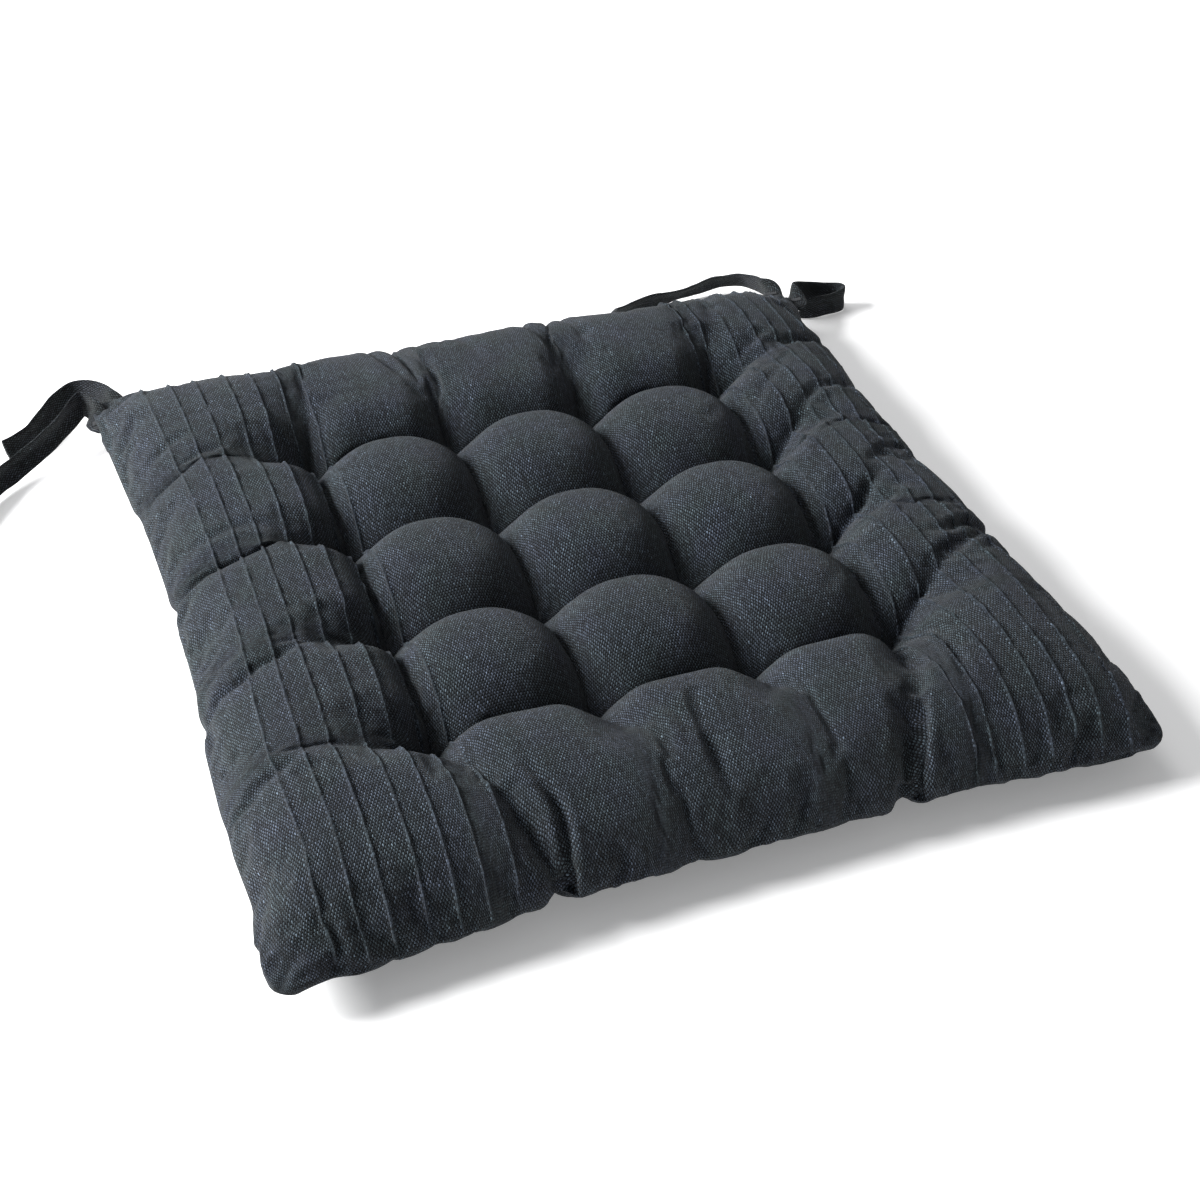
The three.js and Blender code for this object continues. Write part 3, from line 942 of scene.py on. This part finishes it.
def thread_piece(name, points, radius, material, steps):
    """A round thread along a path, as one piece."""
    path, length = smooth_path(points, steps)
    tangent = unit(np.gradient(path, axis=0))
    sideways = unit(np.cross(tangent, (0.31, 0.17, 0.94)))
    upwards = np.cross(sideways, tangent)
    turn = np.linspace(0, math.tau, THREAD_SECTION + 1)
    ring = np.cos(turn)[None, :, None] * sideways[:, None]
    ring = ring + np.sin(turn)[None, :, None] * upwards[:, None]
    rings = path[:, None, :] + radius * ring
    flat = np.stack(np.meshgrid(turn / math.tau, np.linspace(0, length, steps + 1)), axis=-1)
    piece = add_piece(name, swept_mesh(name, rings, flat), material)
    return piece


def tie_frames(name):
    """A tie's path with the ways across its width and through its thickness, at even steps."""
    side, route, lean = (TIES[name][key] for key in ("side", "route", "lean"))
    corner = np.array([side * HALF_WIDTH, HALF_DEPTH, 0])
    places = [corner + np.array([side * out, back, up]) * MM for out, back, up in route]
    inward = np.array([0, -1, 0]) if name.endswith("rear") else np.array([-side, 0, 0])
    places.insert(0, places[0] + inward * TIE_INSIDE_SEAM)
    path, length = smooth_path(places, TIE_STEPS)
    tangent = unit(np.gradient(path, axis=0))
    level = unit(np.cross(tangent, (0, 0, 1)))
    upright = np.cross(level, tangent)
    gone = np.linspace(0, length, TIE_STEPS + 1)
    wobble = [noise.noise(Vector((at / WOBBLE_LENGTH, side * 3.1, len(route)))) for at in gone]
    wobble = np.array(wobble)
    turn = soft_step((gone - TIE_INSIDE_SEAM) / TIE_TURN) * math.radians(lean)
    turn = (turn + wobble * TIE_WOBBLE * soft_step(gone / WOBBLE_LENGTH))[:, None]
    across = np.cos(turn) * level + np.sin(turn) * upright
    return path, across, np.cross(tangent, across), gone


def add_tie(name, cloth_material, thread_material):
    side, crease, bend_way = (TIES[name][key] for key in ("side", "crease", "bend_way"))
    path, across, through, gone = tie_frames(name)
    turn = np.linspace(0, math.tau, TIE_SECTION + 1)
    # A flat section with round folds at both long edges.
    wide = np.sign(np.cos(turn)) * np.abs(np.cos(turn)) ** TIE_FACE_POWER
    thick = np.sign(np.sin(turn)) * np.abs(np.sin(turn)) ** TIE_EDGE_POWER
    length = gone[-1]
    uneven = np.array([noise.noise(Vector((at / UNEVEN_LENGTH, 7.7, side))) for at in gone])
    half_wide = TIE_WIDTH / 2 * (TIE_STITCHED_WIDTH + TIE_UNEVEN_WIDTH * uneven)
    folded = crease * MM * soft_step((gone - FOLD_START) / FOLD_LENGTH)
    narrow = np.sqrt(np.maximum(1 - (folded / (TIE_WIDTH / 2)) ** 2, 0.3))
    half_wide = half_wide * narrow
    bow = folded[:, None] * (0.5 - np.abs(wide)[None, :] ** 1.2)
    body = [
        [noise.noise(Vector((at / PUCKER_LENGTH, w * 1.6, 3 + side))) for w in wide] for at in gone
    ]
    body = 1 + TIE_UNEVEN_BODY * np.array(body)
    rings = (
        path[:, None, :]
        + across[:, None, :] * (wide[None, :] * half_wide[:, None])[..., None]
        + through[:, None, :] * (bow + TIE_THICKNESS / 2 * thick[None, :] * body)[..., None]
    )
    around = np.concatenate([[0], np.cumsum(np.hypot(np.diff(wide), np.diff(thick) / 7))])
    flat = np.stack(np.meshgrid(around * TIE_WIDTH / 2, gone), axis=-1)
    tie = add_piece(name + "_strap", swept_mesh(name + "_strap", rings, flat), cloth_material)
    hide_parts(name)

    # The bar tack: one thread that zigzags across the tie just outside the rim.
    at_tack = int(round((TIE_INSIDE_SEAM + TACK_PLACE) / length * TIE_STEPS))
    centre = path[at_tack]
    over = through[at_tack] if through[at_tack][2] > 0 else -through[at_tack]
    along = unit(path[at_tack + 1] - path[at_tack - 1])
    zigzag = []
    for step in range(TACK_TURNS + 1):
        reach = TACK_REACH * (1 if step % 2 else -1)
        place = across[at_tack] * (step / TACK_TURNS - 0.5) * TACK_WIDTH
        zigzag.append(centre + place + along * reach + over * (TIE_THICKNESS / 2 + TACK_ABOVE))
    tack = thread_piece(name + "_tack_thread", zigzag, TACK_RADIUS, thread_material, TACK_STEPS)
    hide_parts(name + "_bar_tack")
    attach(tack, "pad")

    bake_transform(tie)


KNOT_LENGTH = 4.6 * MM
KNOT_TURNS = 3
TUFT_THREAD_RADIUS = 0.42 * MM
TUFT_THREAD_STEPS = 150


def add_tuft_stitches(material):
    """At each tuft, thread goes round and round through the pad, and is pulled tight."""
    low = TUFT_UNDER_Z - 0.5 * MM
    high = TUFT_Z + 0.5 * MM
    bend = high - 2 * MM
    # The way of one turn: across the tuft, in half lengths of the knot, and its height.
    one_turn = ((-0.8, low), (-1, bend), (-0.7, high), (0.7, high), (1, bend), (0.8, low))
    for row in range(TUFT_ROWS):
        for column in range(TUFT_COLUMNS):
            place = TUFTS[row, column]
            lean = 0.25 * noise.noise(Vector((row * 2.3, column * 1.7, 0.5)))
            points = []
            for turn in range(KNOT_TURNS):
                spread = (turn - 1) * 0.55 * MM
                half = KNOT_LENGTH / 2 - abs(turn - 1) * 0.3 * MM
                for x, z in one_turn:
                    over = place[0] + x * half - spread * lean * 2
                    back = place[1] + spread + x * half * lean
                    points.append((over, back, z))
            name = TUFT_NODES[row][column]
            label = name + "_thread"
            piece = thread_piece(label, points, TUFT_THREAD_RADIUS, material, TUFT_THREAD_STEPS)
            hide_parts(name)
            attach(piece, "pad")


# ---------------------------------------------------------------- stage and light


FLOOR_HALF = 3.0


def add_stage():
    bm = bmesh.new()
    bmesh.ops.create_grid(bm, x_segments=1, y_segments=1, size=FLOOR_HALF)
    mesh = bpy.data.meshes.new("floor")
    bm.to_mesh(mesh)
    bm.free()
    material, _, shader = new_material("pale_floor")
    shader.inputs["Base Color"].default_value = (0.93, 0.93, 0.93, 1)
    shader.inputs["Roughness"].default_value = 0.9
    shader.inputs["Emission Color"].default_value = (1, 1, 1, 1)
    shader.inputs["Emission Strength"].default_value = 0.2
    mesh.materials.append(material)
    floor = bpy.data.objects.new("floor", mesh)
    bpy.context.scene.collection.objects.link(floor)


def add_lamp(name, place, size, power):
    """A square lamp that faces the pad."""
    data = bpy.data.lights.new(name, "AREA")
    data.size = size
    data.energy = power
    lamp = bpy.data.objects.new(name, data)
    lamp.location = place
    lamp.rotation_euler = Vector(place).to_track_quat("Z", "Y").to_euler()
    bpy.context.scene.collection.objects.link(lamp)


def add_light():
    world = bpy.data.worlds.new("studio")
    bpy.context.scene.world = world
    world.use_nodes = True
    background = next(n for n in world.node_tree.nodes if n.type == "BACKGROUND")
    background.inputs[0].default_value = (0.97, 0.98, 1.0, 1)
    background.inputs[1].default_value = 0.27
    add_lamp("window", place=(-1.75, 0.55, 1.15), size=0.9, power=135)
    add_lamp("ceiling", place=(-0.35, 0.9, 1.8), size=1.0, power=10)
    bpy.context.scene.view_settings.view_transform = "Standard"


# ---------------------------------------------------------------- the scene

COTTON = woven_cotton(
    "charcoal_cotton",
    warp=(0.047, 0.062, 0.079, 1),
    weft=(0.0044, 0.0062, 0.0080, 1),
    # The gap colour is painted shade for the hollows between the threads.
    gap_shade=(0.0015, 0.002, 0.003, 1),
    relief=0.5,
)
TAPE = woven_cotton(
    "tie_cotton",
    warp=(0.030, 0.037, 0.043, 1),
    weft=(0.0045, 0.0055, 0.0065, 1),
    gap_shade=(0.0015, 0.002, 0.0025, 1),
    # The gap colour is painted shade for the hollows between the threads.
    relief=0.4,
)
# The second thread colour is painted light on the crowns of the plies; the first is painted shade in
# their grooves.
THREAD = twisted_thread("dark_thread", (0.006, 0.007, 0.009, 1), (0.022, 0.025, 0.030, 1))

add_camera()
make_cover(COTTON)
add_tuft_stitches(THREAD)
for tie_name in TIES:
    add_tie(tie_name, TAPE, THREAD)
add_stage()
add_light()
